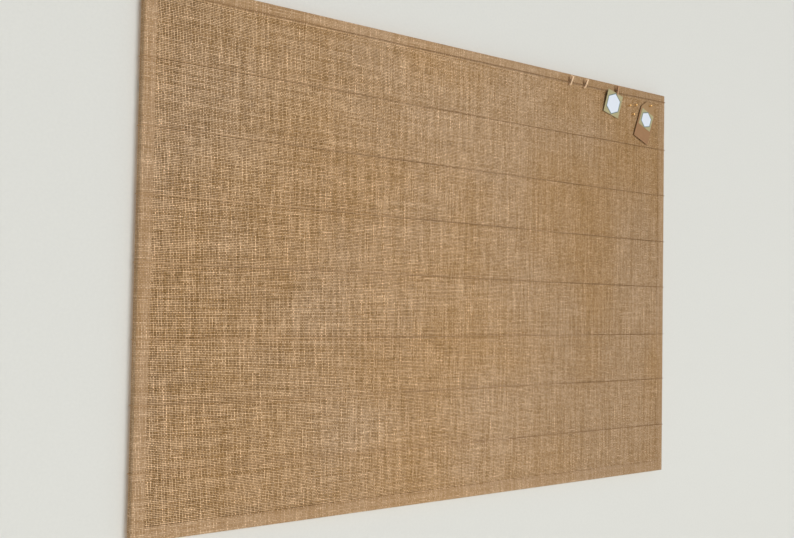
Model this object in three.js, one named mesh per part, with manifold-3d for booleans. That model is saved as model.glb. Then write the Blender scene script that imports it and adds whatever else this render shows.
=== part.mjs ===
// Hessian memo board: a cork panel in a thin wooden frame, covered with woven jute,
// with cords stretched across it, small sprung pegs, push pins and card tags.
// Millimetres. X runs along the width, +Y goes into the wall, Z is up.
// The origin is the centre of the board on the wall's face.
import * as THREE from 'three';
import { mergeVertices } from 'three/addons/utils/BufferGeometryUtils.js';
import Module from 'manifold-3d';

const wasm = await Module();
wasm.setup();

// Board: overall face, and the layers from the wall outwards
const BOARD_WIDTH = 1200;
const BOARD_HEIGHT = 800;
const PAD_THICKNESS = 3.5;
const FABRIC = 1;
const BACK_THICKNESS = 3;
const RAIL_DEPTH = 9;
const CORK_THICKNESS = 7;
const RAIL_WIDTH = 19;
const STEP_RUN = 2.5;
const EDGE_RADIUS = 3;
const HEM_WIDTH = 30;
const MITRE_GAP = 0.15;
const PANEL_GAP = 0.3;
const FIT_GAP = 0.2;
const HOLE_GAP = 0.3;
const HOLE_PAST = 1;
const HOLE_SIDES = 12;

// Cords: drift is how far each end lies below its even spacing, left end then right end
const CORD_DIAMETER = 1.5;
const CORD_SIDES = 8;
const FIRST_CORD_DOWN = 18;
const LAST_CORD_UP = 96.5;
const CORD_TAIL = 27;
const CORD_DRIFT = [[0, -3.5], [-1, 2], [0, 2], [-1, 3], [-2, 2], [9, 4], [3, 0.5], [0.5, -0.5]];

// Staples over the ends of the cords
const STAPLE_IN = 14;
const STAPLE_SPAN = 5;
const STAPLE_THICKNESS = 0.6;
const STAPLE_WIDTH = 1;
const STAPLE_BITE = 5.5;

// Pegs: a half is drawn with u along the peg towards the handles and v out of its middle plane
const PEG_WIDTH = 3.4;
const JAW_LENGTH = 5.5;
const HANDLE_LENGTH = 13.5;
const HALF_THICKNESS = 3;
const TIP_THICKNESS = 1.2;
const TAPER_START = 1.8;
const NOTCH_RADIUS = 1.5;
const JAW_GAP = 0.3;
const HANDLE_EASE = 0.5;
const COIL_UP = 4.5;
const COIL_RADIUS = 1;
const COIL_TURNS = 2.5;
const COIL_PITCH = 1.1;
const WIRE_DIAMETER = 0.5;
const WIRE_SIDES = 5;
const CURL_STEPS = 8;
const GROOVE_UP = 2.6;
const GROOVE_DEPTH = 0.5;
const MAX_OPENING = THREE.MathUtils.degToRad(18);
const PEG_LEAN = THREE.MathUtils.degToRad(22);
const PEGS_DOWN = 17.3;
const PEG_1_IN = 306.3;
const PEG_2_IN = 263.5;
const PEG_3_IN = 166;
const PEG_2_TURN = THREE.MathUtils.degToRad(5);
const PEG_3_TRAVEL = 12;
const PEG_CLEARANCE = 0.4;

// Square tag in the third peg
const TAG_CARD = 0.4;
const LABEL = 0.2;
const LABEL_GAP = 0.05;
const LABEL_SIDES = 6;
const SQUARE_TAG_WIDTH = 48;
const SQUARE_TAG_HEIGHT = 47;
const SQUARE_TAG_TURN = THREE.MathUtils.degToRad(12.5);
const SQUARE_TAG_LEAN = THREE.MathUtils.degToRad(5.5);
const SQUARE_TAG_ACROSS = 3.75;
const SQUARE_TAG_BELOW = 2.1;
const SQUARE_LABEL_RADIUS = 22.5;

// Swing tag on the fourth pin
const SWING_CARD = 0.8;
const SWING_WIDTH = 48;
const SWING_DROP = 81;
const SWING_SHOULDER = 13;
const SWING_TOP = 6;
const SWING_TOP_WIDTH = 20;
const SWING_TURN = THREE.MathUtils.degToRad(21);
const PATCH_WIDTH = 40;
const PATCH_HEIGHT = 36;
const PATCH_DOWN = 33.2;
const SWING_LABEL_RADIUS = 18;

// Push pins: distance in from the right edge, down from the top edge
const PIN_PLACES = [[119, 37], [99.5, 33.5], [107.5, 54]];
const SWING_PIN_IN = 54.4;
const SWING_PIN_DOWN = 29.4;
const SWING_PIN_STANDOFF = 3.5;
const NEEDLE_DIAMETER = 1;
const NEEDLE_LENGTH = 8;
const PIN_COLLAR = 4.6;
const PIN_WAIST = 2.4;
const PIN_HEAD = 5;
const PIN_HEIGHT = 6;
const PIN_CROWN = 3.6;
const PIN_DOME = 0.2;
const PIN_BRIM = 0.8;
const PIN_FLARE = 1;
const PIN_COLLAR_TALL = 0.8;
const PIN_COLLAR_SLOPE = 0.7;
const PIN_SEGMENTS = 12;

// Hangers on the back: a strap with a rolled eye, its ring and its screw
const STRAP_WIDTH = 9;
const STRAP_LENGTH = 30;
const STRAP_THICKNESS = 0.65;
const RING_WIRE = 1.6;
const RING_HALF_WIDTH = 6.6;
const RING_DROP = 12;
const RING_JOINT = 0.3;
const RING_SIDES = 8;
const RING_GAP = 0.3;
const HANGER_BELOW_CORD = 34;
const SCREW_DOWN = 22;
const SCREW_DIAMETER = 3;
const SCREW_LENGTH = 11;
const SCREW_HEAD = 5.6;
const SCREW_CROWN = 3.9;
const SCREW_HEAD_HEIGHT = 1.1;
const SCREW_SEGMENTS = 16;

// Wall pads
const PAD_DIAMETER = 14;
const PAD_SIDES = 24;
const PAD_IN = 15;
const PAD_DOWN = 45;

// Derived levels along Y, from the wall outwards
const HEM_BACK = -PAD_THICKNESS;
const PANEL_BACK = HEM_BACK - FABRIC;
const PANEL_FRONT = PANEL_BACK - BACK_THICKNESS;
const CORK_FRONT = PANEL_FRONT - CORK_THICKNESS;
const RAIL_FRONT = PANEL_FRONT - RAIL_DEPTH;
const FIELD_FRONT = CORK_FRONT - FABRIC;
const BORDER_FRONT = RAIL_FRONT - FABRIC;
const RAIL_INNER = FABRIC + RAIL_WIDTH;
const STEP_INNER = RAIL_INNER + FIT_GAP;
const CORNER_CUT = EDGE_RADIUS - FABRIC;
const HALF_WIDTH = BOARD_WIDTH / 2;
const HALF_HEIGHT = BOARD_HEIGHT / 2;

// Derived sizes of cords and pegs
const CORD_RADIUS = CORD_DIAMETER / 2;
const CORD_SEAT = CORD_RADIUS + FIT_GAP;
const CORD_PITCH = (BOARD_HEIGHT - FIRST_CORD_DOWN - LAST_CORD_UP) / (CORD_DRIFT.length - 1);
const WIRE_RADIUS = WIRE_DIAMETER / 2;
const COIL_NOTCH = COIL_RADIUS + WIRE_RADIUS + HOLE_GAP;
const NOTCH_PLAY = NOTCH_RADIUS - CORD_RADIUS - FIT_GAP;
const TIP_REACH = JAW_LENGTH + NOTCH_PLAY;
const CORD_LIFT = TIP_REACH * Math.sin(PEG_LEAN) + TIP_THICKNESS * Math.cos(PEG_LEAN) + PEG_CLEARANCE;
const LIFTED_CORD = BORDER_FRONT - CORD_LIFT;

// Angle to which the third peg's jaw stands open on the cord and the card together
const GRIPPED = CORD_RADIUS + 2 * FIT_GAP + TAG_CARD - JAW_GAP / 2;
const GRIP_REACH = Math.hypot(COIL_UP, NOTCH_PLAY);
const TAG_OPENING = Math.asin(GRIPPED / GRIP_REACH) - Math.atan2(NOTCH_PLAY, COIL_UP);

// Frames for extrusions: shape x to Z, shape y to -Y, depth to X
const ACROSS = new THREE.Matrix4().makeBasis(
  new THREE.Vector3(0, 0, 1), new THREE.Vector3(0, -1, 0), new THREE.Vector3(1, 0, 0));
// Shape x to X, shape y to Z, depth to -Y
const OUTWARD = new THREE.Matrix4().makeBasis(
  new THREE.Vector3(1, 0, 0), new THREE.Vector3(0, 0, 1), new THREE.Vector3(0, -1, 0));

// Materials
const look = (color, roughness, metalness = 0) =>
  new THREE.MeshStandardMaterial({ color, roughness, metalness });
const PINE = look('#d9b98a', 0.7);
const CORK = look('#b58a5a', 0.9);
const HARDBOARD = look('#7a5836', 0.8);
const HESSIAN = look('#a88967', 0.95);
const JUTE = look('#96774f', 0.95);
const STEEL = look('#b9bcc0', 0.35, 1);
const BIRCH = look('#e6c8a5', 0.6);
const KRAFT = look('#b2a77a', 0.85);
const BROWN_CARD = look('#a07855', 0.85);
const WHITE_PAPER = look('#e4e8ee', 0.7);
const BRASS = look('#d6a45a', 0.3, 1);
const FELT = look('#4a4744', 0.95);

// A named piece with its own copy of the material
function piece(name, geometry, material) {
  const mesh = new THREE.Mesh(geometry, material.clone());
  mesh.name = name;
  return mesh;
}

// Closed geometry to a solid for cutting
function toSolid(geometry) {
  const bare = geometry.clone();
  bare.deleteAttribute('normal');
  bare.deleteAttribute('uv');
  const merged = mergeVertices(bare, 1e-4);
  return new wasm.Manifold(new wasm.Mesh({
    numProp: 3,
    vertProperties: new Float32Array(merged.attributes.position.array),
    triVerts: new Uint32Array(merged.index.array),
  }));
}

// Geometry with every tool cut away from it
function cut(geometry, tools) {
  let solid = toSolid(geometry);
  for (const tool of tools) {
    solid = solid.subtract(toSolid(tool));
  }
  const mesh = solid.getMesh();
  const result = new THREE.BufferGeometry();
  result.setAttribute('position', new THREE.BufferAttribute(new Float32Array(mesh.vertProperties), 3));
  result.setIndex(Array.from(mesh.triVerts));
  return result;
}

// Closed body through rectangular rings [inset from the board's outline, y], capped at both ends
function throughRings(rings) {
  const corners = [[-1, -1], [1, -1], [1, 1], [-1, 1]];
  const positions = [];
  for (const [inset, y] of rings) {
    for (const [sx, sz] of corners) {
      positions.push(sx * (HALF_WIDTH - inset), y, sz * (HALF_HEIGHT - inset));
    }
  }
  const index = [0, 1, 2, 0, 2, 3];
  for (let ring = 0; ring + 1 < rings.length; ring += 1) {
    for (let side = 0; side < 4; side += 1) {
      const a = ring * 4 + side;
      const b = ring * 4 + (side + 1) % 4;
      index.push(a, a + 4, b, b, a + 4, b + 4);
    }
  }
  const end = (rings.length - 1) * 4;
  index.push(end, end + 2, end + 1, end, end + 3, end + 2);
  const geometry = new THREE.BufferGeometry();
  geometry.setAttribute('position', new THREE.Float32BufferAttribute(positions, 3));
  geometry.setIndex(index);
  return geometry;
}

// Route through chosen points, one ring of a tube at each point
class Route extends THREE.Curve {
  constructor(points) {
    super();
    this.points = points;
  }

  getPoint(t) {
    const place = THREE.MathUtils.clamp(t, 0, 1) * (this.points.length - 1);
    const start = Math.min(Math.floor(place), this.points.length - 2);
    return this.points[start].clone().lerp(this.points[start + 1], place - start);
  }

  getPointAt(u) {
    return this.getPoint(u);
  }

  getTangentAt(u) {
    return this.getTangent(u);
  }
}

function polygon(radius, sides, phase = 0) {
  const points = [];
  for (let side = 0; side < sides; side += 1) {
    const angle = phase + side * 2 * Math.PI / sides;
    points.push(new THREE.Vector2(radius * Math.cos(angle), radius * Math.sin(angle)));
  }
  return new THREE.Shape(points);
}

function tube(points, radius, sides) {
  return new THREE.ExtrudeGeometry(polygon(radius, sides), {
    steps: points.length - 1,
    extrudePath: new Route(points),
  });
}

// Plate of a shape, extruded across X about its middle
function across(shape, width, segments = 6) {
  const geometry = new THREE.ExtrudeGeometry(shape, {
    depth: width, bevelEnabled: false, curveSegments: segments });
  geometry.translate(0, 0, -width / 2);
  return geometry.applyMatrix4(ACROSS);
}

// Sheet of a shape drawn on the board's face, with its back at the given y
function sheet(shape, thickness, back) {
  const geometry = new THREE.ExtrudeGeometry(shape, {
    depth: thickness, bevelEnabled: false, curveSegments: 6 });
  geometry.applyMatrix4(OUTWARD);
  return geometry.translate(0, back, 0);
}

function rectangle(width, height, x, y) {
  return new THREE.Shape([[-1, -1], [1, -1], [1, 1], [-1, 1]].map(
    ([sx, sy]) => new THREE.Vector2(x + sx * width / 2, y + sy * height / 2)));
}

// Turned piece on the Y axis from [radius, y] pairs in rising y
function turned(profile, segments) {
  return new THREE.LatheGeometry(profile.map(([r, y]) => new THREE.Vector2(r, y)), segments);
}

// Round hole along Y
function drill(radius, x, z, front, back) {
  const geometry = new THREE.CylinderGeometry(radius, radius, back - front, HOLE_SIDES);
  return geometry.translate(x, (front + back) / 2, z);
}

const fromRight = (distance) => HALF_WIDTH - distance;
const fromTop = (distance) => HALF_HEIGHT - distance;
const cordDown = (cord, end) => FIRST_CORD_DOWN + cord * CORD_PITCH + CORD_DRIFT[cord][end];

const pins = PIN_PLACES.map(([edgeIn, down]) => (
  { x: fromRight(edgeIn), z: fromTop(down), seat: FIELD_FRONT }));
pins.push({
  x: fromRight(SWING_PIN_IN),
  z: fromTop(SWING_PIN_DOWN),
  seat: FIELD_FRONT - SWING_PIN_STANDOFF,
});

const staples = [];
CORD_DRIFT.forEach((drift, cord) => {
  staples.push({ cord, side: -1, x: STAPLE_IN - HALF_WIDTH, z: fromTop(cordDown(cord, 0)) });
  staples.push({ cord, side: 1, x: HALF_WIDTH - STAPLE_IN, z: fromTop(cordDown(cord, 1)) });
});

const hangers = [-1, 1].map((side) => (
  { side, x: side * (HALF_WIDTH - FABRIC - RAIL_WIDTH / 2),
    z: fromTop(FIRST_CORD_DOWN + CORD_PITCH + HANGER_BELOW_CORD) }));

// Holes that the pins, staples and screws make
function pinHoles() {
  return pins.map((pin) => drill(
    NEEDLE_DIAMETER / 2 + HOLE_GAP, pin.x, pin.z, FIELD_FRONT - FABRIC, PANEL_FRONT - PANEL_GAP));
}

function stapleHoles() {
  const holes = [];
  const front = HEM_BACK - STAPLE_BITE - HOLE_GAP;
  for (const each of staples) {
    for (const leg of [-1, 1]) {
      const hole = new THREE.BoxGeometry(
        STAPLE_WIDTH + 2 * HOLE_GAP, -front, STAPLE_THICKNESS + 2 * HOLE_GAP);
      const z = each.z + leg * (STAPLE_SPAN + STAPLE_THICKNESS) / 2;
      holes.push(hole.translate(each.x, front / 2, z));
    }
  }
  return holes;
}

function screwHoles() {
  const front = HEM_BACK + STRAP_THICKNESS - SCREW_LENGTH - HOLE_GAP;
  return hangers.map((hanger) => drill(
    SCREW_DIAMETER / 2 + HOLE_GAP, hanger.x, hanger.z - SCREW_DOWN, front, 0));
}

const backHoles = () => [...stapleHoles(), ...screwHoles()];

// Frame rail with mitred ends; profile points are [inset, y] in turn round the section
function rail(side, alongX) {
  const profile = [
    [FABRIC, PANEL_FRONT], [RAIL_INNER, PANEL_FRONT], [RAIL_INNER, RAIL_FRONT],
    [FABRIC + CORNER_CUT, RAIL_FRONT], [FABRIC, RAIL_FRONT + CORNER_CUT],
  ];
  const count = profile.length;
  const positions = [];
  for (const end of [-1, 1]) {
    for (const [inset, y] of profile) {
      const short = end * ((alongX ? HALF_WIDTH : HALF_HEIGHT) - inset - MITRE_GAP);
      const out = side * ((alongX ? HALF_HEIGHT : HALF_WIDTH) - inset);
      positions.push(alongX ? short : out, y, alongX ? out : short);
    }
  }
  const index = [];
  for (let corner = 0; corner < count; corner += 1) {
    const next = (corner + 1) % count;
    index.push(corner, next, corner + count, next, next + count, corner + count);
  }
  for (let corner = 1; corner + 1 < count; corner += 1) {
    index.push(0, corner + 1, corner, count, count + corner, count + corner + 1);
  }
  if ((side > 0) === alongX) {
    for (let face = 0; face < index.length; face += 3) {
      [index[face], index[face + 1]] = [index[face + 1], index[face]];
    }
  }
  const geometry = new THREE.BufferGeometry();
  geometry.setAttribute('position', new THREE.Float32BufferAttribute(positions, 3));
  geometry.setIndex(index);
  return cut(geometry, backHoles());
}

// Hessian drawn over the frame: field, step, border, side, and a hem turned under the back
function hessianCover() {
  const bend = EDGE_RADIUS * (1 - Math.SQRT1_2);
  const innerBend = CORNER_CUT * (1 - Math.SQRT1_2);
  const cover = throughRings([
    [STEP_INNER + STEP_RUN, FIELD_FRONT], [STEP_INNER, BORDER_FRONT],
    [EDGE_RADIUS, BORDER_FRONT], [bend, BORDER_FRONT + bend],
    [0, BORDER_FRONT + EDGE_RADIUS], [0, HEM_BACK - EDGE_RADIUS],
    [bend, HEM_BACK - bend], [EDGE_RADIUS, HEM_BACK],
    [HEM_WIDTH, HEM_BACK], [HEM_WIDTH, PANEL_BACK],
    [EDGE_RADIUS, PANEL_BACK], [FABRIC + innerBend, PANEL_BACK - innerBend],
    [FABRIC, PANEL_BACK - CORNER_CUT], [FABRIC, RAIL_FRONT + CORNER_CUT],
    [FABRIC + innerBend, RAIL_FRONT + innerBend], [EDGE_RADIUS, RAIL_FRONT],
    [STEP_INNER, RAIL_FRONT], [STEP_INNER + STEP_RUN, CORK_FRONT],
  ]);
  return cut(cover, [...pinHoles(), ...backHoles()]);
}

function backPanel() {
  const panel = throughRings([
    [FABRIC, PANEL_FRONT], [FABRIC, PANEL_BACK - CORNER_CUT], [FABRIC + CORNER_CUT, PANEL_BACK],
  ]);
  return cut(panel, backHoles());
}

function corkPanel() {
  const edge = RAIL_INNER + PANEL_GAP;
  return cut(throughRings([[edge, CORK_FRONT], [edge, PANEL_FRONT]]), pinHoles());
}

// Quarter bend of a cord round an edge of the board, from one angle to another
function bendRound(x, y, z, from, to) {
  const steps = 4;
  const points = [];
  for (let step = 0; step <= steps; step += 1) {
    const angle = from + (to - from) * step / steps;
    const reach = EDGE_RADIUS + CORD_SEAT;
    points.push(new THREE.Vector3(x + reach * Math.cos(angle), y + reach * Math.sin(angle), z));
  }
  return points;
}

// Cord from its tail on the back, round one edge, over the front and round the other edge
function cordRoute(cord) {
  const [left, right] = [0, 1].map((end) => fromTop(cordDown(cord, end)));
  const edge = HALF_WIDTH - EDGE_RADIUS;
  const frontBend = BORDER_FRONT + EDGE_RADIUS;
  const backBend = HEM_BACK - EDGE_RADIUS;
  const tail = HEM_BACK + CORD_SEAT;
  const quarter = Math.PI / 2;
  const raised = [
    new THREE.Vector3(fromRight(PEG_1_IN), LIFTED_CORD, fromTop(PEGS_DOWN)),
    new THREE.Vector3(fromRight(PEG_3_IN - PEG_3_TRAVEL), LIFTED_CORD, fromTop(PEGS_DOWN)),
  ];
  return [
    new THREE.Vector3(CORD_TAIL - HALF_WIDTH, tail, left),
    ...bendRound(-edge, backBend, left, quarter, 2 * quarter),
    ...bendRound(-edge, frontBend, left, 2 * quarter, 3 * quarter),
    ...(cord === 0 ? raised : []),
    ...bendRound(edge, frontBend, right, -quarter, 0),
    ...bendRound(edge, backBend, right, 0, quarter),
    new THREE.Vector3(HALF_WIDTH - CORD_TAIL, tail, right),
  ];
}

// Staple drawn with u along Z and v towards the front, from the hem's back face
function staple() {
  const inside = STAPLE_SPAN / 2;
  const outside = inside + STAPLE_THICKNESS;
  const underCrown = -(CORD_SEAT + CORD_RADIUS + FIT_GAP);
  const crown = underCrown - STAPLE_THICKNESS;
  return across(new THREE.Shape([
    [-outside, crown], [outside, crown], [outside, STAPLE_BITE], [inside, STAPLE_BITE],
    [inside, underCrown], [-inside, underCrown], [-inside, STAPLE_BITE], [-outside, STAPLE_BITE],
  ].map(([u, v]) => new THREE.Vector2(u, v))), STAPLE_WIDTH);
}

// Peg half with its inner face on the +v side of the middle plane
function pegHalf() {
  const gap = JAW_GAP / 2;
  const relief = Math.tan(MAX_OPENING / 2);
  const handleInner = (u) => (u - COIL_UP) * relief + gap;
  const notchEdge = Math.asin(gap / NOTCH_RADIUS);
  const coilEdge = Math.asin(gap / COIL_NOTCH);
  const coilExit = MAX_OPENING / 2 + Math.asin(gap * Math.cos(MAX_OPENING / 2) / COIL_NOTCH);
  const shape = new THREE.Shape();
  shape.moveTo(-JAW_LENGTH, gap);
  shape.absarc(0, 0, NOTCH_RADIUS, Math.PI - notchEdge, notchEdge, true);
  shape.absarc(COIL_UP, 0, COIL_NOTCH, Math.PI - coilEdge, coilExit, true);
  shape.lineTo(HANDLE_LENGTH, handleInner(HANDLE_LENGTH));
  shape.lineTo(HANDLE_LENGTH, HALF_THICKNESS - HANDLE_EASE);
  shape.lineTo(HANDLE_LENGTH - HANDLE_EASE, HALF_THICKNESS);
  shape.lineTo(GROOVE_UP + GROOVE_DEPTH, HALF_THICKNESS);
  shape.lineTo(GROOVE_UP, HALF_THICKNESS - GROOVE_DEPTH);
  shape.lineTo(GROOVE_UP - GROOVE_DEPTH, HALF_THICKNESS);
  shape.lineTo(TAPER_START, HALF_THICKNESS);
  shape.lineTo(-JAW_LENGTH, TIP_THICKNESS);
  return across(shape, PEG_WIDTH, 4).translate(0, 0, -COIL_UP);
}

// Spring about its coil's centre: a leg over the back half, the coil, a leg over the front half
function springRoute(opening) {
  const side = PEG_WIDTH / 2 + HOLE_GAP + WIRE_RADIUS;
  const seatUp = GROOVE_UP - COIL_UP;
  const seatOut = HALF_THICKNESS - GROOVE_DEPTH + HOLE_GAP + WIRE_RADIUS;
  const overhang = PEG_WIDTH / 2 - WIRE_DIAMETER;
  const coilEnd = COIL_TURNS * COIL_PITCH / 2;
  // [x, u, v] from the crossbar's end to where the wire meets the coil, in the closed peg
  const leg = [
    [-overhang, seatUp, seatOut], [-overhang + WIRE_DIAMETER, seatUp, seatOut],
    [side - WIRE_DIAMETER, seatUp, seatOut], [side, seatUp, seatOut - WIRE_DIAMETER],
    [side, seatUp + WIRE_RADIUS, COIL_RADIUS + WIRE_DIAMETER],
    [side, -COIL_RADIUS, COIL_RADIUS + WIRE_RADIUS / 2], [side, -COIL_RADIUS / 2, COIL_RADIUS],
  ];
  const back = leg.map(([x, u, v]) => new THREE.Vector3(-x, v, u));
  const front = leg.map(([x, u, v]) => new THREE.Vector3(x, -v, u).applyAxisAngle(
    new THREE.Vector3(1, 0, 0), -opening));
  const coil = [];
  const sweep = COIL_TURNS * 2 * Math.PI - opening;
  const steps = COIL_TURNS * CURL_STEPS;
  for (let step = 0; step <= steps; step += 1) {
    const angle = -Math.PI / 2 + sweep * step / steps;
    const x = -coilEnd + 2 * coilEnd * step / steps;
    coil.push(new THREE.Vector3(x, -COIL_RADIUS * Math.sin(angle), COIL_RADIUS * Math.cos(angle)));
  }
  return [...back, ...coil, ...front.reverse()];
}

// Least gap between parts of a wire that lie more than half a curl apart along it
function leastGap(points, diameter) {
  const fine = [];
  const parts = 6;
  for (let at = 0; at + 1 < points.length; at += 1) {
    for (let part = 0; part < parts; part += 1) {
      fine.push(points[at].clone().lerp(points[at + 1], part / parts));
    }
  }
  const along = [0];
  for (let at = 1; at < fine.length; at += 1) {
    along.push(along[at - 1] + fine[at].distanceTo(fine[at - 1]));
  }
  let least = Infinity;
  for (let one = 0; one < fine.length; one += 1) {
    for (let other = one + 1; other < fine.length; other += 1) {
      if (along[other] - along[one] > Math.PI * COIL_RADIUS) {
        least = Math.min(least, fine[one].distanceTo(fine[other]) - diameter);
      }
    }
  }
  return least;
}

// Peg on the top cord; seat is where the cord lies in the notch as [u, v]
function peg(name, x, lean, turn, opening, seat) {
  const group = new THREE.Group();
  group.position.set(x, LIFTED_CORD, fromTop(PEGS_DOWN));
  group.rotation.set(lean, turn, 0, 'YXZ');
  const coil = new THREE.Group();
  coil.position.set(0, seat[1], COIL_UP - seat[0]);
  const back = piece(`${name}_back`, pegHalf(), BIRCH);
  back.rotation.z = Math.PI;
  const front = piece(`${name}_front`, pegHalf(), BIRCH);
  front.rotation.x = -opening;
  const route = springRoute(opening);
  console.log(`${name}_spring least gap ${leastGap(route, WIRE_DIAMETER).toFixed(2)} mm`);
  coil.add(back, front, piece(`${name}_spring`, tube(route, WIRE_RADIUS, WIRE_SIDES), STEEL));
  group.add(coil);
  return group;
}

// Square card clipped in front of the cord by the third peg
function squareTag() {
  const group = new THREE.Group();
  group.position.set(fromRight(PEG_3_IN), LIFTED_CORD, fromTop(PEGS_DOWN));
  group.rotation.set(SQUARE_TAG_LEAN, SQUARE_TAG_TURN, 0, 'XYZ');
  const middle = -(SQUARE_TAG_BELOW + SQUARE_TAG_HEIGHT / 2);
  const card = rectangle(SQUARE_TAG_WIDTH, SQUARE_TAG_HEIGHT, -SQUARE_TAG_ACROSS, middle);
  const label = polygon(SQUARE_LABEL_RADIUS, LABEL_SIDES, Math.PI / LABEL_SIDES);
  const labelBack = -CORD_SEAT - TAG_CARD - LABEL_GAP;
  group.add(piece('tag_1_card', sheet(card, TAG_CARD, -CORD_SEAT), KRAFT));
  const paper = sheet(label, LABEL, labelBack).translate(-SQUARE_TAG_ACROSS, 0, middle);
  group.add(piece('tag_1_label', paper, WHITE_PAPER));
  return group;
}

// Brown card with sloped shoulders hung on the fourth pin, with a pasted patch and label
function swingTag() {
  const pin = pins[pins.length - 1];
  const group = new THREE.Group();
  group.position.set(pin.x, pin.seat + FIT_GAP + SWING_CARD, pin.z);
  group.rotation.y = SWING_TURN;
  const side = SWING_WIDTH / 2;
  const top = SWING_TOP_WIDTH / 2;
  const outline = new THREE.Shape([
    [-side, -SWING_DROP], [side, -SWING_DROP], [side, -SWING_SHOULDER],
    [top, SWING_TOP], [-top, SWING_TOP], [-side, -SWING_SHOULDER],
  ].map(([x, z]) => new THREE.Vector2(x, z)));
  outline.holes.push(polygon(NEEDLE_DIAMETER / 2 + HOLE_GAP, HOLE_SIDES));
  const patch = rectangle(PATCH_WIDTH, PATCH_HEIGHT, 0, -PATCH_DOWN);
  const patchBack = -SWING_CARD - LABEL_GAP;
  const labelBack = patchBack - TAG_CARD - LABEL_GAP;
  const hexagon = polygon(SWING_LABEL_RADIUS, LABEL_SIDES, Math.PI / LABEL_SIDES);
  const label = sheet(hexagon, LABEL, labelBack);
  group.add(piece('tag_2_card', sheet(outline, SWING_CARD, 0), BROWN_CARD));
  group.add(piece('tag_2_patch', sheet(patch, TAG_CARD, patchBack), KRAFT));
  group.add(piece('tag_2_label', label.translate(0, 0, -PATCH_DOWN), WHITE_PAPER));
  return group;
}

// Push pin with its collar's back at y 0
function pushPin() {
  const needle = NEEDLE_DIAMETER / 2;
  const collar = PIN_COLLAR / 2;
  const waist = PIN_WAIST / 2;
  const brim = PIN_DOME + PIN_BRIM - PIN_HEIGHT;
  const neck = -PIN_COLLAR_TALL - PIN_COLLAR_SLOPE;
  return turned([
    [0, -PIN_HEIGHT], [PIN_CROWN / 2, PIN_DOME - PIN_HEIGHT], [PIN_HEAD / 2, brim],
    [collar, brim + PIN_BRIM], [waist, brim + PIN_BRIM + PIN_FLARE], [waist, neck],
    [collar, -PIN_COLLAR_TALL], [collar, 0], [needle, 0],
    [needle, NEEDLE_LENGTH - 2 * NEEDLE_DIAMETER], [0, NEEDLE_LENGTH],
  ], PIN_SEGMENTS);
}

// Strap with its eye's centre at z 0 and its back on y 0
function strap() {
  const bore = RING_WIRE / 2 + RING_GAP;
  const eye = bore + STRAP_THICKNESS;
  const meet = Math.sqrt(eye * eye - (eye - STRAP_THICKNESS) ** 2);
  const shape = new THREE.Shape();
  shape.moveTo(-STRAP_LENGTH, 0);
  shape.lineTo(-STRAP_LENGTH, -STRAP_THICKNESS);
  shape.lineTo(-meet, -STRAP_THICKNESS);
  const start = Math.atan2(eye - STRAP_THICKNESS, -meet);
  shape.absarc(0, -eye, eye, start, 2.5 * Math.PI, false);
  const hole = new THREE.Path();
  hole.absarc(0, -eye, bore, 0, 2 * Math.PI, false);
  shape.holes.push(hole);
  const hollow = drill(
    SCREW_DIAMETER / 2 + HOLE_GAP, 0, -SCREW_DOWN, -HOLE_PAST, STRAP_THICKNESS + HOLE_PAST);
  return cut(across(shape, STRAP_WIDTH, 8), [hollow]);
}

// Bent ring with its bar on the X axis and its butt joint in the middle of the bar
function ringRoute() {
  const half = RING_HALF_WIDTH;
  const bend = RING_WIRE;
  const arm = RING_DROP - half;
  const corner = bend * (1 - Math.SQRT1_2);
  const shoulder = [[RING_JOINT / 2, 0], [half - bend, 0], [half - corner, -corner], [half, -bend]];
  const points = [...shoulder];
  const steps = 10;
  for (let step = 0; step <= steps; step += 1) {
    const angle = -Math.PI * step / steps;
    points.push([half * Math.cos(angle), -arm + half * Math.sin(angle)]);
  }
  points.push(...shoulder.reverse().map(([x, z]) => [-x, z]));
  return points.map(([x, z]) => new THREE.Vector3(x, 0, z));
}

function screw() {
  const shank = SCREW_DIAMETER / 2;
  const head = SCREW_HEAD / 2;
  return turned([
    [0, -SCREW_LENGTH], [shank, -SCREW_LENGTH + SCREW_DIAMETER], [shank, 0], [head, 0],
    [head, SCREW_HEAD_HEIGHT / 2], [SCREW_CROWN / 2, SCREW_HEAD_HEIGHT], [0, SCREW_HEAD_HEIGHT],
  ], SCREW_SEGMENTS);
}

const board = new THREE.Group();
const add = (name, geometry, material, x = 0, y = 0, z = 0) => {
  const mesh = piece(name, geometry, material);
  mesh.position.set(x, y, z);
  board.add(mesh);
};

add('top_rail', rail(1, true), PINE);
add('bottom_rail', rail(-1, true), PINE);
add('left_rail', rail(-1, false), PINE);
add('right_rail', rail(1, false), PINE);
add('cork_panel', corkPanel(), CORK);
add('back_panel', backPanel(), HARDBOARD);
add('hessian_cover', hessianCover(), HESSIAN);

CORD_DRIFT.forEach((drift, cord) => {
  add(`string_${cord + 1}`, tube(cordRoute(cord), CORD_RADIUS, CORD_SIDES), JUTE);
});
for (const each of staples) {
  const name = `staple_${each.cord + 1}_${each.side < 0 ? 'left' : 'right'}`;
  add(name, staple(), STEEL, each.x, HEM_BACK, each.z);
}

board.add(peg('peg_1', fromRight(PEG_1_IN), PEG_LEAN, 0, 0, [NOTCH_PLAY, 0]));
board.add(peg('peg_2', fromRight(PEG_2_IN), PEG_LEAN, PEG_2_TURN, 0, [NOTCH_PLAY, 0]));
const gripLean = SQUARE_TAG_LEAN + TAG_OPENING;
board.add(peg('peg_3', fromRight(PEG_3_IN), gripLean, 0, TAG_OPENING, [0, -NOTCH_PLAY]));
board.add(squareTag());
board.add(swingTag());
pins.forEach((pin, at) => add(`pin_${at + 1}`, pushPin(), BRASS, pin.x, pin.seat, pin.z));

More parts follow.
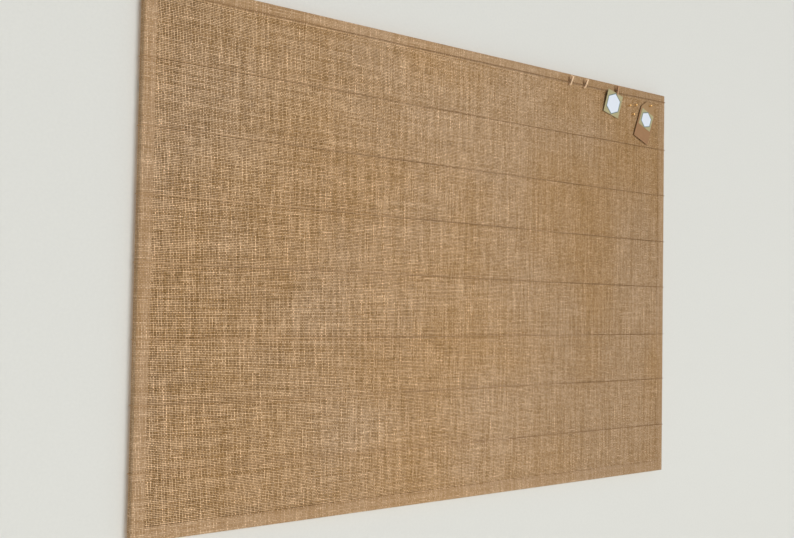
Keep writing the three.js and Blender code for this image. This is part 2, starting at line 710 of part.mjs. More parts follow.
for (const hanger of hangers) {
  const side = hanger.side < 0 ? 'left' : 'right';
  const barOut = HEM_BACK + RING_WIRE / 2 + RING_GAP + STRAP_THICKNESS;
  add(`hanger_strap_${side}`, strap(), STEEL, hanger.x, HEM_BACK, hanger.z);
  const ring = tube(ringRoute(), RING_WIRE / 2, RING_SIDES);
  add(`hanger_ring_${side}`, ring, STEEL, hanger.x, barOut, hanger.z);
  add(`hanger_screw_${side}`, screw(), STEEL, hanger.x, HEM_BACK + STRAP_THICKNESS, hanger.z - SCREW_DOWN);
}

for (const [side, sx] of [['left', -1], ['right', 1]]) {
  for (const [level, sz] of [['upper', 1], ['lower', -1]]) {
    const pad = new THREE.CylinderGeometry(PAD_DIAMETER / 2, PAD_DIAMETER / 2, PAD_THICKNESS, PAD_SIDES);
    add(`pad_${level}_${side}`, pad, FELT,
      sx * (HALF_WIDTH - PAD_IN), -PAD_THICKNESS / 2, sz * (HALF_HEIGHT - PAD_DOWN));
  }
}

export default board;
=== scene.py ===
import math

import bmesh
import bpy
from mathutils import Matrix, Vector, noise


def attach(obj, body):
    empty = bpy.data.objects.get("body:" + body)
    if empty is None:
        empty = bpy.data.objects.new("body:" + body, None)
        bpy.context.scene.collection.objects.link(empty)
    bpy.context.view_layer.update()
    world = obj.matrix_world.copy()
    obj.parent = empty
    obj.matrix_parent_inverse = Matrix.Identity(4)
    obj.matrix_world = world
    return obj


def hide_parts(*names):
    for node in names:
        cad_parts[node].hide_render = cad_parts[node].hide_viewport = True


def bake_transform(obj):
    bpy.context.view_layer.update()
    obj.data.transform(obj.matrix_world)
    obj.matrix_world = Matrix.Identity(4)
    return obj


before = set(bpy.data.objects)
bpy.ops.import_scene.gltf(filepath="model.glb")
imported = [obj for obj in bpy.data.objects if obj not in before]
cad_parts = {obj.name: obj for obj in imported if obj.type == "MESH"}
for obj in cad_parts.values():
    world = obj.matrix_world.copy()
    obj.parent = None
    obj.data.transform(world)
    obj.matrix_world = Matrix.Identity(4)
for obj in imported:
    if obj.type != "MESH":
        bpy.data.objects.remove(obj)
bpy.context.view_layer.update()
MM = 0.001

# Board in millimetres, as the solids have it
HALF_WIDTH, HALF_HEIGHT = 600, 400
FIELD_FRONT, BORDER_FRONT, HEM_BACK = -15.5, -17.5, -3.5
STEP_OUTER, STEP_INNER = 20.2, 22.7
EDGE_RADIUS, HEM_WIDTH, CLOTH_THICKNESS = 3, 30, 0.9

# Cloth: pitch of its yarns and of their twist, its mesh, how uneven it lies over the cork
WARP_PITCH, WEFT_PITCH, TWIST_PITCH = 2.37 * MM, 2.47 * MM, 0.55 * MM
FIELD_COLUMNS, FIELD_ROWS, BORDER_MIDDLE, HEM_MIDDLE = 116, 76, 11, 16
UNEVEN, UNEVEN_FADE = 0.16, 20

# Where the frame stops showing through the cloth, in from the outline, and which y counts as front
FRAME_FADE = 19.6 * MM, 21.2 * MM
FRONT_LIMIT = -8

# Strings: an even row, and how far each one's left and right end drifts down from it
FIRST_STRING_DOWN, LAST_STRING_UP = 18, 96.5
STRING_DRIFT = [(0, -3.5), (-1, 2), (0, 2), (-1, 3), (-2, 2), (9, 4), (3, 0.5), (0.5, -0.5)]
STRING_PITCH = (2 * HALF_HEIGHT - FIRST_STRING_DOWN - LAST_STRING_UP) / (len(STRING_DRIFT) - 1)
STRING_SEAT, STRING_TAIL = 0.95, 27
PLY_RADIUS, PLY_OFFSET, PLY_TURN = 0.36, 0.31, 5.2
PLY_SIDES, PLY_STEPS, LAY_STEP = 6, 8, 20

# Top string where the pegs lift it: its y and z, from the first peg to where the third one's travel ends
PEG_1_X, PEG_2_X, PEG_3_X, PEG_3_TRAVEL = 293.7, 336.5, 434, 12
STRING_LIFT, PEGS_DOWN = 3.779, 17.3
LIFTED = (BORDER_FRONT - STRING_LIFT, HALF_HEIGHT - PEGS_DOWN)

# Pegs: place along the top string, lean, turn, opening, seat of the string in the notch
PEG_LEAN, PEG_2_TURN = math.radians(22), math.radians(5)
TAG_LEAN, TAG_OPENING = math.radians(5.5), math.radians(11.02)
NOTCH_PLAY = 0.55
PEGS = {
    "peg_1": (PEG_1_X, PEG_LEAN, 0, 0, (NOTCH_PLAY, 0)),
    "peg_2": (PEG_2_X, PEG_LEAN, PEG_2_TURN, 0, (NOTCH_PLAY, 0)),
    "peg_3": (PEG_3_X, TAG_LEAN + TAG_OPENING, 0, TAG_OPENING, (0, -NOTCH_PLAY)),
}
PEG_EASE = 0.14
COIL_UP, COIL_RADIUS, COIL_TURNS, COIL_PITCH, COIL_STEPS = 4.5, 1, 2.5, 1.1, 60
SPRING_WIRE, SPRING_BLEND = 0.5, 0.9

# Tags: where each card's frame stands, its lean and turn; middle and radius of each label
TAG_PIN_X, TAG_PIN_Z = 545.6, 370.6
TAG_1 = (PEG_3_X, *LIFTED), TAG_LEAN, math.radians(12.5)
TAG_2 = (TAG_PIN_X, -18.0, TAG_PIN_Z), 0, math.radians(21)
LABEL_1 = (-3.75, 0, -25.6), 22.5
LABEL_2 = (0, 0, -33.2), 18

# Where the labels' outline begins and is full, in from the edge, and the swing tag's paler top end
LABEL_RING = 1.9 * MM, 1.5 * MM
TAG_TOP = -30 * MM, -12 * MM

# Push pins: seat of each collar, and the (radius, y) profile from head to point
PINS = {
    "pin_1": (481, FIELD_FRONT, 363), "pin_2": (500.5, FIELD_FRONT, 366.5),
    "pin_3": (492.5, FIELD_FRONT, 346), "pin_4": (TAG_PIN_X, -19.0, TAG_PIN_Z),
}
PIN_PROFILE = [
    (0, -6), (1.0, -5.95), (1.7, -5.8), (2.2, -5.5), (2.45, -5.15), (2.5, -4.85), (2.42, -4.55), (2.15, -4.2),
    (1.75, -3.75), (1.4, -3.3), (1.22, -2.9), (1.2, -2.4), (1.2, -1.8), (1.35, -1.45), (1.75, -1.1),
    (2.15, -0.85), (2.3, -0.65), (2.3, -0.1), (2.2, 0), (0.5, 0), (0.5, 6), (0.3, 7.2), (0, 8),
]

# Back: felt pads, hangers with their screws, staples
SIDES = (("left", -1), ("right", 1))
PAD_X, PAD_Z, PAD_RADIUS, PAD_DEPTH, PAD_ROUND = 585, 355, 7, 3.5, 0.6
PAD_INSETS = (0.9, 1.6, 2)
HANGER_X, HANGER_BELOW_STRING, RING_Y = 589.5, 34, -1.75
HANGER_Z = HALF_HEIGHT - FIRST_STRING_DOWN - STRING_PITCH - HANGER_BELOW_STRING
RING_WIRE, RING_HALF, RING_BEND, RING_ARM, RING_JOINT = 1.6, 6.6, 1.6, 5.4, 0.3
METAL_EASE = 0.12
SCREW_SEAT, SCREW_DOWN = -2.85, 22
SCREW_PROFILE = [
    (0, -11), (0.5, -10.2), (1.5, -8), (1.5, 0), (2.7, 0), (2.8, 0.12), (2.75, 0.4), (2.4, 0.75), (1.8, 0.98),
    (1.0, 1.08), (0, 1.1),
]
RECESS_LONG, RECESS_WIDE, RECESS_DEEP, RECESS_MIDDLE = 2.8, 0.7, 1.1, 0.95

# Hem staples: size, rounding, how far out; then distance in, pitch and shift of the long and the short rows
HEM_STAPLE, HEM_STAPLE_EASE, HEM_STAPLE_PROUD = (9, 0.6, 0.7), 0.2, 0.1
LONG_ROW_IN, LONG_ROW_PITCH, LONG_ROW_SHIFT = 20, 60, 7
SHORT_ROW_IN, SHORT_ROW_PITCH, SHORT_ROW_SHIFT = 23, 62, 9

# Room in metres, and the camera as fitted to the photograph
ROOM_SIZE, FLOOR_HEIGHT, WALL_BEHIND = 14, -1.35, 0.4 * MM
CAMERA_PLACE, CAMERA_AHEAD = (-1.2142, -1.3548, -0.0653), (0.6281, 0.7772, 0.0378)
CAMERA_ROLL, CAMERA_LENS, SENSOR_WIDTH = math.radians(1), 46.24, 36


# Nodes
def colour(red, green, blue):
    """A colour read from 0 to 255, as light."""
    parts = [c / 255 for c in (red, green, blue)]
    return (*(p / 12.92 if p < 0.04045 else ((p + 0.055) / 1.055) ** 2.4 for p in parts), 1)


class Wire:
    """A value among nodes; arithmetic on it adds Math nodes."""

    def __init__(self, nodes, socket):
        self.nodes, self.socket = nodes, socket

    def maths(self, operation, *values):
        return self.nodes.maths(operation, self, *values)

    def __add__(self, other):
        return self.maths("ADD", other)

    __radd__ = __add__

    def __sub__(self, other):
        return self.maths("SUBTRACT", other)

    def __rsub__(self, other):
        return self.nodes.maths("SUBTRACT", other, self)

    def __mul__(self, other):
        return self.maths("MULTIPLY", other)

    __rmul__ = __mul__

    def __truediv__(self, other):
        return self.maths("DIVIDE", other)

    def __abs__(self):
        return self.maths("ABSOLUTE")

    def span(self, low, high, to_low=0, to_high=1):
        """This value's place between two limits, eased and kept inside them."""
        return self.nodes.node(
            "ShaderNodeMapRange", {"interpolation_type": "SMOOTHSTEP"},
            {"Value": self, "From Min": low, "From Max": high, "To Min": to_low, "To Max": to_high})["Result"]


class Nodes:
    """The nodes of a finish or of the room's light."""

    def __init__(self, owner):
        owner.use_nodes = True
        self.tree = owner.node_tree

    def feed(self, node, sockets):
        for key, value in sockets.items():
            socket = node.inputs[key] if isinstance(key, int) else next(
                s for s in node.inputs if s.name == key and s.enabled)
            if isinstance(value, Wire):
                self.tree.links.new(value.socket, socket)
            else:
                socket.default_value = value

    def node(self, kind, settings, sockets):
        """A node of a kind, with its settings made before its sockets are fed."""
        node = self.tree.nodes.new(kind)
        for key, value in settings.items():
            setattr(node, key, value)
        self.feed(node, sockets)
        return {s.name: Wire(self, s) for s in node.outputs if s.enabled}

    def maths(self, operation, *values):
        return self.node("ShaderNodeMath", {"operation": operation}, dict(enumerate(values)))["Value"]

    def vector(self, x, y, z=0):
        return self.node("ShaderNodeCombineXYZ", {}, {"X": x, "Y": y, "Z": z})["Vector"]

    def parts(self, vector):
        split = self.node("ShaderNodeSeparateXYZ", {}, {"Vector": vector})
        return split["X"], split["Y"], split["Z"]


class Finish(Nodes):
    """A procedural finish."""

    def __init__(self, name, **constants):
        self.material = bpy.data.materials.new(name)
        super().__init__(self.material)
        self.shader = self.tree.nodes["Principled BSDF"]
        self.show(**constants)

    def place(self, matrix=None):
        """Object coordinates, or those of a frame that stands on the piece."""
        vector = self.node("ShaderNodeTexCoord", {}, {})["Object"]
        if matrix is None:
            return vector
        return self.node("ShaderNodeMapping", {"vector_type": "TEXTURE"}, {
            "Vector": vector, "Location": matrix.to_translation(), "Rotation": matrix.to_euler("XYZ"),
        })["Vector"]

    def mark(self, name):
        return self.node("ShaderNodeAttribute", {"attribute_name": name}, {})["Vector"]

    def noise(self, vector, scale, detail, stretch=None):
        if stretch:
            scaling = {"operation": "MULTIPLY"}
            vector = self.node("ShaderNodeVectorMath", scaling, {0: vector, 1: stretch})["Vector"]
        sockets = {"Vector": vector, "Scale": scale, "Detail": detail}
        return self.node("ShaderNodeTexNoise", {}, sockets)["Fac"]

    def mix(self, factor, one, other, how="MIX"):
        return self.node("ShaderNodeMix", {"data_type": "RGBA", "blend_type": how},
                         {"Factor": factor, "A": one, "B": other})["Result"]

    def grey(self, value):
        """The same value in all three channels, to tone a colour with."""
        return self.node("ShaderNodeCombineColor", {}, {0: value, 1: value, 2: value})["Color"]

    def tone(self, base, value):
        return self.mix(1, base, self.grey(value), "MULTIPLY")

    def bump(self, height, distance, strength):
        return self.node("ShaderNodeBump", {}, {
            "Height": height, "Distance": distance, "Strength": strength})["Normal"]

    def show(self, **sockets):
        self.feed(self.shader, {key.replace("_", " "): value for key, value in sockets.items()})
        return self.material


# Finishes
def yarn_round(beside, width):
    """The round section of a yarn: 1 on its middle line, 0 at its sides and past them."""
    return (1 - (beside * 2 / width).maths("POWER", 2)).maths("MAXIMUM", 0).maths("SQRT")


def yarn_height(over, crossing, section):
    """How high a yarn lies as it goes over and under those that it crosses, and far below where it isn't."""
    lift = over * (crossing * math.pi).maths("COSINE") * 0.5
    return lift + section * 0.6 - (1 - section.maths("GREATER_THAN", 0.01)) * 2


def hessian_finish():
    """Plain weave of uneven jute yarns, with painted shade on the yarns and in the gaps: near black over the
    cork, paler over the frame.
    """
    cloth = Finish("hessian", Roughness=0.9, Specular_IOR_Level=0.15)
    place = cloth.mark("cloth")
    along, up, inset = cloth.parts(place)
    on_frame = inset.span(*FRAME_FADE, 1, 0)
    # The weave is drawn more open towards the left
    loose = along.span(-0.6, 0.5, 1, 0)
    # Yarns are counted from the middle and sway a little
    sway = cloth.noise(place, 7, 1)
    drift = cloth.noise(cloth.vector(up, along), 6, 1)
    across = along / WARP_PITCH + (sway - 0.5) * 2.4
    down = up / WEFT_PITCH + (drift - 0.5) * 1.2
    warp, weft = across.maths("FLOOR"), down.maths("FLOOR")
    ragged = (cloth.noise(place, 1500, 2) - 0.5) * 0.5
    beside_warp = across - warp - 0.5 + ragged
    beside_weft = down - weft - 0.5 - ragged
    # Each yarn swells and thins along its length, and has its own tone
    warp_slub = cloth.noise(cloth.vector(warp * 5.17, up * 24), 1, 2)
    weft_slub = cloth.noise(cloth.vector(along * 34, weft * 4.73), 1, 2)
    warp_tone = cloth.noise(cloth.vector(warp * 3.31, up * 5, 9), 1, 1)
    weft_tone = cloth.noise(cloth.vector(along * 5, weft * 3.77, 5), 1, 1)
    # Each crossing has its own fullness
    knot = cloth.node("ShaderNodeTexWhiteNoise", {"noise_dimensions": "2D"},
                      {"Vector": cloth.vector(warp, weft)})["Value"]
    warp_width = 0.67 - loose * 0.16 + (warp_slub - 0.5) * 0.9 + (knot - 0.5) * 0.12
    weft_width = 0.88 - loose * 0.27 + (weft_slub - 0.5) * 0.7 + (knot - 0.5) * 0.12
    warp_round = yarn_round(beside_warp, warp_width)
    weft_round = yarn_round(beside_weft, weft_width)
    over = 1 - (warp + weft).maths("FLOORED_MODULO", 2) * 2
    warp_high = yarn_height(over, beside_weft, warp_round)
    weft_high = yarn_height(over * -1, beside_warp, weft_round)
    top = warp_high.maths("MAXIMUM", weft_high).maths("MAXIMUM", -0.6)
    warp_shows = warp_high.maths("GREATER_THAN", weft_high)
    # Painted highlight: each yarn is lighter where it swells, and brightest on its thickest slubs; the rest
    # is its own tone
    warp_light = 0.6 + warp_slub * 0.3 + warp_slub.span(0.56, 0.72) * 0.25
    warp_light = warp_light + warp_tone.span(0.33, 0.67) * 0.48
    weft_light = 0.83 + weft_slub * 0.16 + weft_slub.span(0.58, 0.74) * 0.25
    weft_light = weft_light + (weft_tone.span(0.33, 0.67) - 0.5) * (0.1 + loose * 0.36)
    yarn = (warp_shows * warp_light + (1 - warp_shows) * weft_light) * (0.87 + knot * 0.26)
    # The twist of the fibres runs aslant round each yarn
    warp_twist = cloth.noise(cloth.vector(up / TWIST_PITCH + beside_warp * 3.2, warp * 7.3), 1, 2)
    weft_twist = cloth.noise(cloth.vector(along / TWIST_PITCH + beside_weft * 3.2, weft * 6.1), 1, 2)
    twist = (warp_shows * warp_twist + (1 - warp_shows) * weft_twist).span(0.28, 0.72)
    # Painted shade from the yarns' relief: tops lighter, sides and low parts darker, more so towards the left
    # and less over the frame
    relief_shade = top.span(0.0, 1.1, -0.48, 0.48) * (0.55 + loose * 0.55) * (1 - on_frame * 0.5)
    shade = 0.98 - on_frame * 0.03 + relief_shade
    fibre = cloth.noise(place, 900, 2)
    patch = cloth.noise(place, 3.1, 2)
    blotch = cloth.noise(place, 26, 2)
    amount = yarn * shade * (0.8 + twist * 0.4) * (0.86 + fibre * 0.28)
    amount = amount * (0.88 + patch * 0.24) * (0.95 + blotch * 0.1)
    # Darker places, thin yarn and painted shade alike, are browner; brighter ones, full yarn and painted
    # highlights, paler
    pale = amount.span(0.6, 1.4) * 0.8 + patch.span(0.35, 0.65) * 0.2 + on_frame * 0.2
    hue = cloth.mix(pale, colour(194, 148, 89), colour(184, 156, 126))
    # Painted shade: the face darkens towards the right, and is a touch lighter at the far left
    dull = along.span(-0.1, 0.5, 1, 0.82) * (1 + loose * 0.04)
    jute = cloth.tone(hue, amount * dull)
    # Painted shade in the gaps: the cork beneath shows near black, and the frame darker than its pine, as if
    # in the yarns' shade
    under = cloth.mix(on_frame, colour(36, 19, 4), colour(158, 128, 99))
    covered = warp_round.maths("MAXIMUM", weft_round).span(0.35, 0.9)
    # Loose hairs cross the gaps
    hair = abs(cloth.noise(place, 380, 3) - 0.5).span(0.004, 0.03, 0.5, 0)
    base = cloth.mix(covered.maths("MAXIMUM", hair), under, jute)
    return cloth.show(Base_Color=base, Normal=cloth.bump(top + twist * 0.25, 0.5 * MM, 0.5))


def string_finish(name, dark, light):
    """Two twisted plies of jute, the hairs running along them."""
    jute = Finish(name, Roughness=0.92, Specular_IOR_Level=0.15)
    place = jute.mark("lay")
    along, beside, _ = jute.parts(place)
    hair = jute.noise(place, 1, 3, (420, 5200, 5200))
    length = jute.noise(place, 1, 2, (11, 90, 0))
    # Darker and paler lengths, partly the string's own tone and partly painted shade; painted light makes it
    # paler towards its left end, painted shade darker on the lowest strings
    mottle_and_painted_light = length.span(0.36, 0.64, 0.38, 0.74) + along.span(0.05, 0.85, 0.75, -0.15)
    mottle_and_painted_light = mottle_and_painted_light - beside.span(0.1, 0.14, 0, 0.17)
    base = jute.mix(mottle_and_painted_light, colour(*dark), colour(*light))
    base = jute.tone(base, 0.75 + hair * 0.5)
    return jute.show(Base_Color=base, Normal=jute.bump(hair, 0.1 * MM, 0.6))


def wood_finish(name, light, dark, scale, mark=None, rough=0.6):
    """Planed wood with its grain along the first axis of the place it reads."""
    wood = Finish(name, Specular_IOR_Level=0.3)
    place = wood.mark(mark) if mark else wood.place()
    rings = wood.noise(place, scale, 3, (0.06, 1, 1))
    pores = wood.noise(place, scale * 7, 2, (0.04, 1, 1))
    base = wood.mix((rings * 5).maths("PINGPONG", 1).span(0.1, 0.95), colour(*light), colour(*dark))
    base = wood.tone(base, 0.88 + pores * 0.24)
    return wood.show(Base_Color=base, Roughness=rough + pores * 0.2,
                     Normal=wood.bump(pores, 0.05 * MM, 0.4))


def card_finish(name, matrix, base, fleck, top=None):
    """Uncoated card with fibres and flecks, which may be paler at its top end."""
    card = Finish(name, Specular_IOR_Level=0.2)
    place = card.place(matrix)
    fibre = card.noise(place, 2600, 3, (1, 0.3, 0.35))
    cloud = card.noise(place, 120, 2)
    specks = card.noise(place, 900, 1).span(0.66, 0.72)
    ground = colour(*base)
    if top:
        ground = card.mix(card.parts(place)[2].span(*TAG_TOP), ground, colour(*top))
    ground = card.tone(ground, 0.86 + fibre * 0.18 + cloud * 0.12)
    return card.show(Base_Color=card.mix(specks * 0.5, ground, colour(*fleck)), Roughness=0.75 + fibre * 0.2,
                     Normal=card.bump(fibre, 0.04 * MM, 0.5))


def label_finish(name, matrix, radius):
    """White paper hexagon with a plain grey outline."""
    paper = Finish(name, Specular_IOR_Level=0.25)
    place = paper.place(matrix)
    x, _, z = paper.parts(place)
    reach = abs(x).maths("MAXIMUM", abs(x) * 0.5 + abs(z) * math.sqrt(0.75))
    flat = radius * MM * math.sqrt(0.75)
    ring = reach.span(*(flat - inset for inset in LABEL_RING))
    fibre = paper.noise(place, 1800, 3)
    white = paper.tone(colour(222, 229, 240), 0.93 + fibre * 0.12)
    grey = paper.tone(colour(106, 126, 126), 0.9 + fibre * 0.2)
    return paper.show(Base_Color=paper.mix(ring, white, grey), Roughness=0.6 + fibre * 0.2,
                      Normal=paper.bump(fibre, 0.03 * MM, 0.4))


def metal_finish(name, base, worn, rough):
    """Metal with fine rubbing marks and duller spots."""
    metal = Finish(name, Metallic=1)
    place = metal.place()
    rub = metal.noise(place, 1500, 3, (1, 0.4, 2))
    dull = metal.noise(place, 240, 3).span(0.45, 0.7)
    shown = metal.tone(metal.mix(dull * 0.6, colour(*base), colour(*worn)), 0.9 + rub * 0.2)
    return metal.show(Base_Color=shown, Roughness=rough + dull * 0.15 + rub * 0.1,
                      Normal=metal.bump(rub, 0.02 * MM, 0.3))


def hardboard_finish():
    """Pressed brown board with the fine mesh marks of its back."""
    board = Finish("hardboard", Specular_IOR_Level=0.25)
    place = board.place()
    x, _, z = board.parts(place)
    per_mark = math.pi / (1.1 * MM)
    mesh_marks = abs((x * per_mark).maths("SINE") * (z * per_mark).maths("SINE"))
    pulp = board.noise(place, 700, 4)
    cloud = board.noise(place, 9, 3)
    base = board.mix(cloud.span(0.35, 0.65), colour(124, 92, 60), colour(130, 97, 64))
    base = board.tone(base, 0.72 + pulp * 0.5 + mesh_marks * 0.08)
    return board.show(Base_Color=base, Roughness=0.7 + pulp * 0.2,
                      Normal=board.bump(mesh_marks + pulp, 0.15 * MM, 0.5))


def cork_finish():
    """Pressed cork granules."""
    cork = Finish("cork", Roughness=0.9, Specular_IOR_Level=0.15)
    place = cork.place()
    grains = cork.node("ShaderNodeTexVoronoi", {}, {"Vector": place, "Scale": 380})
    fleck = cork.noise(place, 500, 3)
    tint = cork.node("ShaderNodeSeparateColor", {}, {"Color": grains["Color"]})["Red"]
    base = cork.mix(tint, colour(160, 118, 74), colour(196, 152, 102))
    return cork.show(Base_Color=cork.tone(base, 0.75 + fleck * 0.4),
                     Normal=cork.bump(grains["Distance"], 0.4 * MM, 0.5))


def felt_finish():
    """Matted grey felt."""
    felt = Finish("felt", Roughness=0.95, Specular_IOR_Level=0.1)
    place = felt.place()
    hair = felt.noise(place, 1600, 4)
    cloud = felt.noise(place, 300, 2)
    base = felt.tone(colour(92, 88, 84), 0.6 + hair * 0.5 + cloud * 0.3)
    return felt.show(Base_Color=base, Normal=felt.bump(hair, 0.3 * MM, 0.8))


# Bench work
def let_go():
    if bpy.context.object and bpy.context.object.mode != "OBJECT":
        bpy.ops.object.mode_set(mode="OBJECT")
    bpy.ops.object.select_all(action="DESELECT")


def take(piece):
    let_go()
    piece.select_set(True)
    bpy.context.view_layer.objects.active = piece


def open_up(piece, kind, action="DESELECT"):
    """Edit mode with nothing chosen, or with all of the piece."""
    take(piece)
    bpy.ops.object.mode_set(mode="EDIT")
    bpy.ops.mesh.select_mode(type=kind)
    bpy.ops.mesh.select_all(action=action)


def close_up():
    bpy.ops.object.mode_set(mode="OBJECT")


def choose(piece, kind, test):
    """Choose the edges or faces that pass a test."""
    mesh = bmesh.from_edit_mesh(piece.data)
    for part in getattr(mesh, kind):
        part.select_set(bool(test(part)))
    mesh.select_flush_mode()
    bmesh.update_edit_mesh(piece.data)


def name_new(name):
    piece = bpy.context.object
    piece.name = piece.data.name = name
    return piece


def settle(piece):
    """Put the place, turn and size of a piece into its mesh."""
    take(piece)
    bpy.ops.object.transform_apply(location=True, rotation=True, scale=True)


def modify(piece, kind, **settings):
    take(piece)
    modifier = piece.modifiers.new(kind.lower(), kind)
    for key, value in settings.items():
        setattr(modifier, key, value)
    bpy.ops.object.modifier_apply(modifier=modifier.name)


def clean(piece):
    """Merge doubles and turn the faces outwards."""
    open_up(piece, "VERT", "SELECT")
    bpy.ops.mesh.remove_doubles(threshold=0.002 * MM)
    bpy.ops.mesh.normals_make_consistent(inside=False)
    close_up()


def smooth(piece, angle):
    take(piece)
    bpy.ops.object.shade_smooth_by_angle(angle=math.radians(angle))


def copy_of(piece, name):
    twin = bpy.data.objects.new(name, piece.data.copy())
    twin.data.name = name
    bpy.context.scene.collection.objects.link(twin)
    return twin


def move_to(piece, place):
    piece.data.transform(Matrix.Translation(Vector(place) * MM))


def fit(piece, body, slot, material, *nodes):
    """Give a piece its finish and body, and hide the nodes that it stands for; the slot is not used."""
    piece.data.materials.clear()
    piece.data.materials.append(material)
    if body:
        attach(piece, body)
    if nodes:
        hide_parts(*nodes)


def coat(node, material):
    """Give a CAD node its finish."""
    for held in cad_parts[node].material_slots:
        held.material = material


def mark_points(piece, name, matrix):
    """Keep each point's place in a frame of the piece, for its finish."""
    layer = piece.data.attributes.new(name, "FLOAT_VECTOR", "POINT")
    for point, kept in zip(piece.data.vertices, layer.data):
        kept.vector = matrix @ point.co


def eased_copy(node, name, width):
    """A copy of a CAD node with its edges rounded over."""
    piece = copy_of(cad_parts[node], name)
    clean(piece)
    open_up(piece, "VERT", "SELECT")
    bpy.ops.mesh.dissolve_limited(angle_limit=math.radians(1))
    close_up()
    modify(piece, "BEVEL", width=width * MM, segments=2, limit_method="ANGLE", angle_limit=math.radians(35))
    smooth(piece, 50)
    return piece


def route_line(name, points):
    """An open line through points in millimetres."""
    curve = bpy.data.curves.new(name, "CURVE")
    curve.dimensions = "3D"
    spline = curve.splines.new("POLY")
    spline.points.add(len(points) - 1)
    for point, place in zip(spline.points, points):
        point.co = (*(c * MM for c in place), 1)
    line = bpy.data.objects.new(name, curve)
    bpy.context.scene.collection.objects.link(line)
    return line


def bent_wire(name, points, thickness, roundness):
    """A bent wire along points in millimetres."""
    line = route_line(name, points)
    line.data.bevel_depth = thickness / 2 * MM
    line.data.bevel_resolution = roundness
    line.data.use_fill_caps = True
    take(line)
    bpy.ops.object.convert(target="MESH")
    piece = name_new(name)
    clean(piece)
    smooth(piece, 60)
    return piece


def turned(name, profile):
    """A piece turned about the Y axis from (radius, y) pairs in millimetres."""
    let_go()
    bpy.ops.mesh.primitive_plane_add(size=1)
    piece = name_new(name)
    open_up(piece, "VERT", "SELECT")
    bpy.ops.mesh.merge(type="CENTER")
    bpy.ops.transform.translate(value=(profile[0][0] * MM, profile[0][1] * MM, 0))
    for (r, y), (next_r, next_y) in zip(profile, profile[1:]):
        bpy.ops.mesh.extrude_vertices_move(
            TRANSFORM_OT_translate={"value": ((next_r - r) * MM, (next_y - y) * MM, 0)})
    bpy.ops.mesh.select_all(action="SELECT")
    bpy.ops.mesh.spin(steps=32, angle=2 * math.pi, center=(0, 0, 0), axis=(0, 1, 0))
    close_up()
    clean(piece)
    smooth(piece, 40)
    return piece


# Hessian cover
def inset_at(x, z):
    """How far in from the board's outline a point lies."""
    return min(HALF_WIDTH * MM - abs(x), HALF_HEIGHT * MM - abs(z))


def unrolled(out, y, half):
    """How far the cloth at a point lies from the board's middle line, measured along the cloth."""
    edge, bend = (half - EDGE_RADIUS) * MM, EDGE_RADIUS * MM
    front, back = (BORDER_FRONT + EDGE_RADIUS) * MM, (HEM_BACK - EDGE_RADIUS) * MM
    quarter = bend * math.pi / 2
    if y < front:
        return out if out <= edge else edge + bend * math.atan2(out - edge, front - y)
    if y <= back:
        return edge + quarter + y - front
    if out >= edge:
        return edge + quarter + back - front + bend * math.atan2(y - back, out - edge)
    return edge + 2 * quarter + back - front + edge - out


def mark_cloth(piece):
    """Keep the unrolled place of each corner of the cloth, and how far in from the outline it lies."""
    layer = piece.data.attributes.new("cloth", "FLOAT_VECTOR", "CORNER")
    for face in piece.data.polygons:
        at_end = HALF_WIDTH * MM - abs(face.center.x) < HALF_HEIGHT * MM - abs(face.center.z)
        for loop in face.loop_indices:
            x, y, z = piece.data.vertices[piece.data.loops[loop].vertex_index].co
            inset = inset_at(x, z) if y < FRONT_LIMIT * MM else 0
            if at_end:
                x = math.copysign(unrolled(abs(x), y, HALF_WIDTH), face.center.x)
            else:
                z = math.copysign(unrolled(abs(z), y, HALF_HEIGHT), face.center.z)
            layer.data[loop].vector = (x, z, inset)


def cover_rings():
    """Inset from the outline and y of each ring of the cloth, from the field out and round to the hem."""
    # The cloth eases up the step from the cork to the frame
    rings = [(STEP_INNER - 1, FIELD_FRONT - 0.35), (STEP_INNER - 2, FIELD_FRONT - 1),
             (STEP_OUTER - 0.6, BORDER_FRONT + 0.3), (STEP_OUTER - 2, BORDER_FRONT)]
    rings.append((BORDER_MIDDLE, BORDER_FRONT))
    eighths = [math.pi / 8 * step for step in range(5)]
    for angle in eighths:
        out, back = 1 - math.sin(angle), 1 - math.cos(angle)
        rings.append((EDGE_RADIUS * out, BORDER_FRONT + EDGE_RADIUS * back))
    rings.append((0, (BORDER_FRONT + HEM_BACK) / 2))
    for angle in eighths:
        out, back = 1 - math.cos(angle), 1 - math.sin(angle)
        rings.append((EDGE_RADIUS * out, HEM_BACK - EDGE_RADIUS * back))
    return rings + [(HEM_MIDDLE, HEM_BACK), (HEM_WIDTH, HEM_BACK)]


